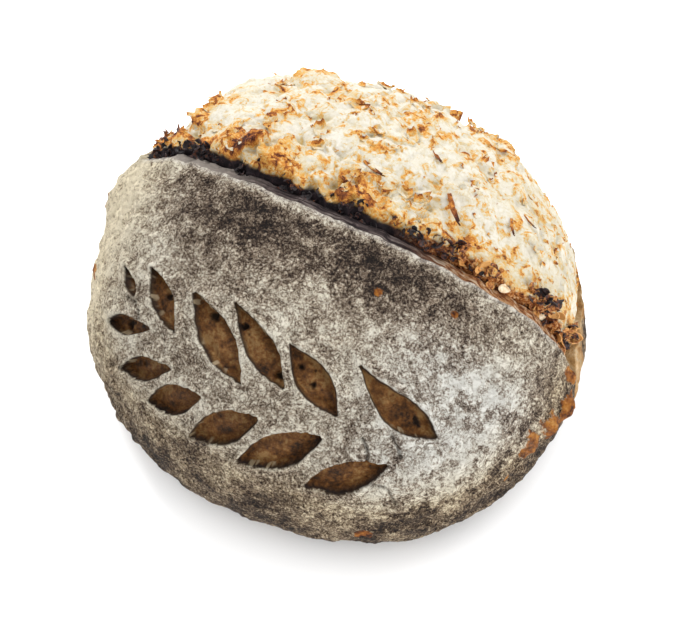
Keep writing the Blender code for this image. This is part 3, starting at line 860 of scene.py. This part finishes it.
def studio():
    scene = bpy.context.scene
    back = Vector((math.sin(CAMERA_AZIMUTH) * math.cos(CAMERA_ELEVATION),
                   -math.cos(CAMERA_AZIMUTH) * math.cos(CAMERA_ELEVATION), math.sin(CAMERA_ELEVATION)))
    data = bpy.data.cameras.new('studio camera')
    data.lens, data.sensor_width = CAMERA_LENS, CAMERA_SENSOR
    camera = bpy.data.objects.new('studio camera', data)
    scene.collection.objects.link(camera)
    camera.location = CAMERA_AIM + back * CAMERA_DISTANCE
    camera.rotation_euler = (-back).to_track_quat('-Z', 'Y').to_euler()
    scene.camera = camera
    bpy.ops.object.select_all(action='DESELECT')
    bpy.ops.mesh.primitive_plane_add(size=PAPER_SIZE, location=(0.0, 0.0, LOW.z))
    floor = bpy.context.object
    floor.name = 'studio_floor'
    material, tree, shader = start_material('white paper sweep')
    feed(tree, shader, {'Base Color': '#f7f7f7', 'Roughness': 0.9})
    floor.data.materials.append(material)
    world = bpy.data.worlds.new('soft white room')
    scene.world = world
    world.use_nodes = True
    room = world.node_tree.nodes['Background']
    feed(world.node_tree, room, {'Color': '#ffffff', 'Strength': ROOM_LIGHT})
    area_light('window', place=(-0.62, 0.42, 0.78), aim=LOAF_MIDDLE, size=0.35, power=7.0)
    area_light('reflector', place=(0.35, 0.80, 0.90), aim=LOAF_MIDDLE, size=0.8, power=5.0)
    bounce = area_light('side bounce', place=(1.0, -0.40, 0.50), aim=LOAF_MIDDLE, size=0.6, power=7.0)
    but_floor = bpy.data.collections.new('all but the paper')
    but_floor.objects.link(floor)
    but_floor.collection_objects[0].light_linking.link_state = 'EXCLUDE'
    bounce.light_linking.receiver_collection = but_floor
    # A wide overhead wash that burns only the paper out to white
    wash = area_light('paper wash', place=(0.0, 0.0, 1.6), aim=(0.0, 0.0, 0.0), size=3.5, power=62.0)
    only_floor = bpy.data.collections.new('paper')
    only_floor.objects.link(floor)
    wash.light_linking.receiver_collection = only_floor
    scene.view_settings.view_transform = 'Standard'


# ---------------------------------------------------------------------------------------------------------
# Loose flakes
FLAKE_THICKNESS = 0.35 * MM
TORN_ROOT, BURNT_ROOT, STRAND_STANDS, OAT_STANDS = 0.7 * MM, 0.5 * MM, 0.3 * MM, 0.9 * MM
TORN_FLAKES, BURNT_FLAKES = 260, 320
TORN_LENGTH, STRAND_LENGTH, BURNT_LENGTH = 6.5, 12.0, 4.2
# Width and curl of each kind, in millimetres and radians
TORN_KINDS = ((4.8, 0.35), (3.4, 0.55), (6.0, 0.25), (1.2, 0.7), (4.2, 0.45))
BURNT_KINDS = ((3.2, 0.7), (2.4, 1.2), (4.0, 0.4), (1.8, 1.5))
# From and to in plan, in millimetres
STRANDS = ((38, 36, 48, 20), (66, 46, 69, 35), (70, 53, 77, 49), (-2, 33, 10, 27), (20, 60, 27, 49))
# A few larger rags that stand up along the slash and the far side: place in plan, size and tone
TALL_RAGS = ((-104, 24, 1.6, 0.5), (-96, 26, 1.2, 0.4), (99, 21, 1.4, 0.1), (-2, 4, 1.3, 0.1),
             (-45, 5, 1.3, 0.1))
# Place in plan, length, width and turn, in millimetres and degrees
OATS = ((77, 12, 8.0, 4.4, 40), (95, 16, 6.0, 4.0, 60), (66, 13, 3.6, 2.6, 30))
OAT_THICKNESS = 1.5 * MM


def flake(name, length, width, curl, seed):
    """One thin torn flake, in millimetres: a ragged strip from its root along X, its tip curling up."""
    deselect_all()
    bpy.ops.mesh.primitive_grid_add(x_subdivisions=7, y_subdivisions=3, size=1.0, location=(0.0, 0.0, 0.0))
    piece = bpy.context.object
    piece.name = name
    rng = np.random.default_rng(seed)
    tears = rng.uniform(0.85, 1.15, 4)
    share_of = []
    for vertex in piece.data.vertices:
        share, side = vertex.co.x + 0.5, 2.0 * vertex.co.y
        column = int(round(1.5 * (side + 1.0)))
        reach = share * (1.0 + (tears[column] - 1.0) * share)
        half = 0.5 * width * (0.55 + 0.75 * math.sin(math.pi * min(0.85 * share + 0.12, 1.0)))
        turn = curl * reach
        out, rise = length * reach * math.cos(0.5 * turn), length * reach * math.sin(0.5 * turn)
        cupped = 0.22 * width * side * side
        crumpled = 0.12 * width * rng.normal()
        vertex.co = Vector((out, side * half, rise + cupped + crumpled)) * MM
        share_of.append(share)
    store(piece, 'rim', 1.4 * np.array(share_of) ** 2.2)
    solidify = piece.modifiers.new('thickness', 'SOLIDIFY')
    solidify.thickness = FLAKE_THICKNESS
    solidify.offset = 0.0
    make_active(piece)
    bpy.ops.object.modifier_apply(modifier=solidify.name)
    bpy.ops.object.shade_smooth_by_angle(angle=math.radians(50.0))
    return piece


def joined(name, parts):
    """The parts as one piece."""
    deselect_all()
    for part in parts:
        part.select_set(True)
    bpy.context.view_layer.objects.active = parts[0]
    bpy.ops.object.join()
    piece = bpy.context.object
    piece.name = piece.data.name = name
    return piece


def nearest(surface, x, y):
    """The row and column of the surface point nearest to a place in plan, in millimetres."""
    gap = np.linalg.norm(surface[..., :2] - np.array((x, y)) * MM, axis=-1)
    return np.unravel_index(np.argmin(gap), gap.shape)


def scatter(name, kinds, places):
    """Copies of the flakes, each with its own mesh, rooted on the crust and joined into one piece."""
    copies = []
    for number, (point, normal, heading, scale, tone) in enumerate(places):
        copy = kinds[number % len(kinds)].copy()
        copy.data = copy.data.copy()
        bpy.context.scene.collection.objects.link(copy)
        along = unit(heading - normal * heading.dot(normal))
        across = np.cross(normal, along)
        axes = np.eye(4)
        axes[:3, :3] = np.stack((along, across, normal), axis=1) * scale
        axes[:3, 3] = point
        copy.data.transform(Matrix(axes.tolist()))
        store(copy, 'tone', np.full(len(copy.data.vertices), tone))
        copies.append(copy)
    for kind in kinds:
        bpy.data.objects.remove(kind, do_unlink=True)
    return joined(name, copies)


def bloom_flakes(surface, normal, from_lip, rim):
    """Torn crumb flakes standing on the bloom, most of them along the lifted rims."""
    kinds = [flake('torn_%d' % k, TORN_LENGTH, width, curl, 70 + k)
             for k, (width, curl) in enumerate(TORN_KINDS)]
    rng = np.random.default_rng(31)
    weight = (from_lip > 11.0) * (0.15 + rim ** 2)
    weight[:6], weight[-6:], weight[:, -12:] = 0.0, 0.0, 0.0
    weight = weight.ravel()
    places = []
    for index in rng.choice(weight.size, TORN_FLAKES, replace=False, p=weight / weight.sum()):
        i, j = np.unravel_index(index, rim.shape)
        facing = normal[i, j]
        heading = unit(rng.normal(size=3) + np.array((-0.3, 0.5, 0.0)))
        scale = min(1.15, 0.56 * math.exp(0.45 * rng.normal())) * (0.7 if surface[i, j, 0] > 0.05 else 1.0)
        places.append((surface[i, j] - facing * TORN_ROOT, facing, heading, scale, rng.random()))
    return scatter('bloom_flakes', kinds, places)


def crust_strands(surface, normal):
    """Long thin toasted threads that curled up from the bloom."""
    places = []
    for x, y, end_x, end_y in STRANDS:
        i, j = nearest(surface, x, y)
        heading = np.array((end_x - x, end_y - y, 0.0))
        scale = np.linalg.norm(heading) / STRAND_LENGTH
        places.append((surface[i, j] + normal[i, j] * STRAND_STANDS, normal[i, j], heading, scale, 0.6))
    return scatter('crust_strands', [flake('strand', STRAND_LENGTH, 1.2, 0.45, 55)], places)


def burnt_flakes(surface, normal, from_lip):
    """Charred rags along the top of the slash."""
    kinds = [flake('burnt_%d' % k, BURNT_LENGTH, width, curl, 90 + k)
             for k, (width, curl) in enumerate(BURNT_KINDS)]
    rng = np.random.default_rng(37)
    clumps = rough_sum(surface, 12 * MM, 2, 83) > -0.15
    right = smooth_step((surface[..., 0] - 20 * MM) / (35 * MM))
    close = np.argwhere((from_lip > 4.6) & (from_lip < 10.0 + 1.5 * right) & (OPEN[TORN] > 0.25) & clumps)
    places = []
    for i, j in close[rng.choice(len(close), BURNT_FLAKES, replace=False)]:
        facing = unit(normal[i, j] + np.array((0.0, -0.4, 0.0)) + 0.35 * rng.normal(size=3))
        heading = unit(rng.normal(size=3) + np.array((0.0, 0.3, 0.6)))
        brown = smooth_step((surface[i, j, 0] - 30 * MM) / (40 * MM))
        tone = 0.3 * rng.random() + brown * rng.choice((0.0, 0.1, 0.4, 0.6, 0.9, 1.4))
        scale = rng.uniform(0.45, 1.15 + 0.35 * right[i, j])
        places.append((surface[i, j] - facing * BURNT_ROOT, facing, heading, scale, tone))
    for x, y, scale, tone in TALL_RAGS:
        i, j = nearest(surface, x, y)
        facing = unit(normal[i, j] + np.array((0.0, -0.2, 0.0)))
        heading = np.array((0.4, 0.6, 0.5))
        places.append((surface[i, j] - normal[i, j] * BURNT_ROOT, facing, heading, scale, tone))
    return scatter('burnt_flakes', kinds, places)


def oat_bits(surface, normal):
    """Rolled oats caught in the slash."""
    bits = []
    for x, y, length, width, turn in OATS:
        i, j = nearest(surface, x, y)
        deselect_all()
        bpy.ops.mesh.primitive_uv_sphere_add(segments=20, ring_count=10, radius=0.5)
        bit = bpy.context.object
        facing = Vector(normal[i, j])
        bit.scale = (length * MM, width * MM, OAT_THICKNESS)
        turned = facing.to_track_quat('Z', 'X') @ Quaternion((0, 0, 1), math.radians(turn))
        bit.rotation_euler = turned.to_euler()
        bit.location = Vector(surface[i, j]) + facing * OAT_STANDS
        bpy.ops.object.transform_apply(location=True, rotation=True, scale=True)
        bpy.ops.object.shade_smooth()
        bits.append(bit)
    return joined('oat_bits', bits)


studio()
front = front_crust()
back = back_crust()
torn, torn_surface, torn_normal, torn_from_lip, torn_rim = bloom()
flakes = bloom_flakes(torn_surface, torn_normal, torn_from_lip, torn_rim)
strands = crust_strands(torn_surface, torn_normal)
rags = burnt_flakes(torn_surface, torn_normal, torn_from_lip)
oats = oat_bits(torn_surface, torn_normal)
dress(front, floured_front_material())
dress(back, floured_back_material())
dress(torn, crumb_material('torn toasted crumb', 0.42, True))
dress(flakes, crumb_material('toasted crumb flakes', 0.34, False, 0.14))
dress(strands, crumb_material('toasted crumb threads', 0.25, False, 0.55))
dress(rags, burnt_material())
dress(oats, oat_material())
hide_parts("loaf")
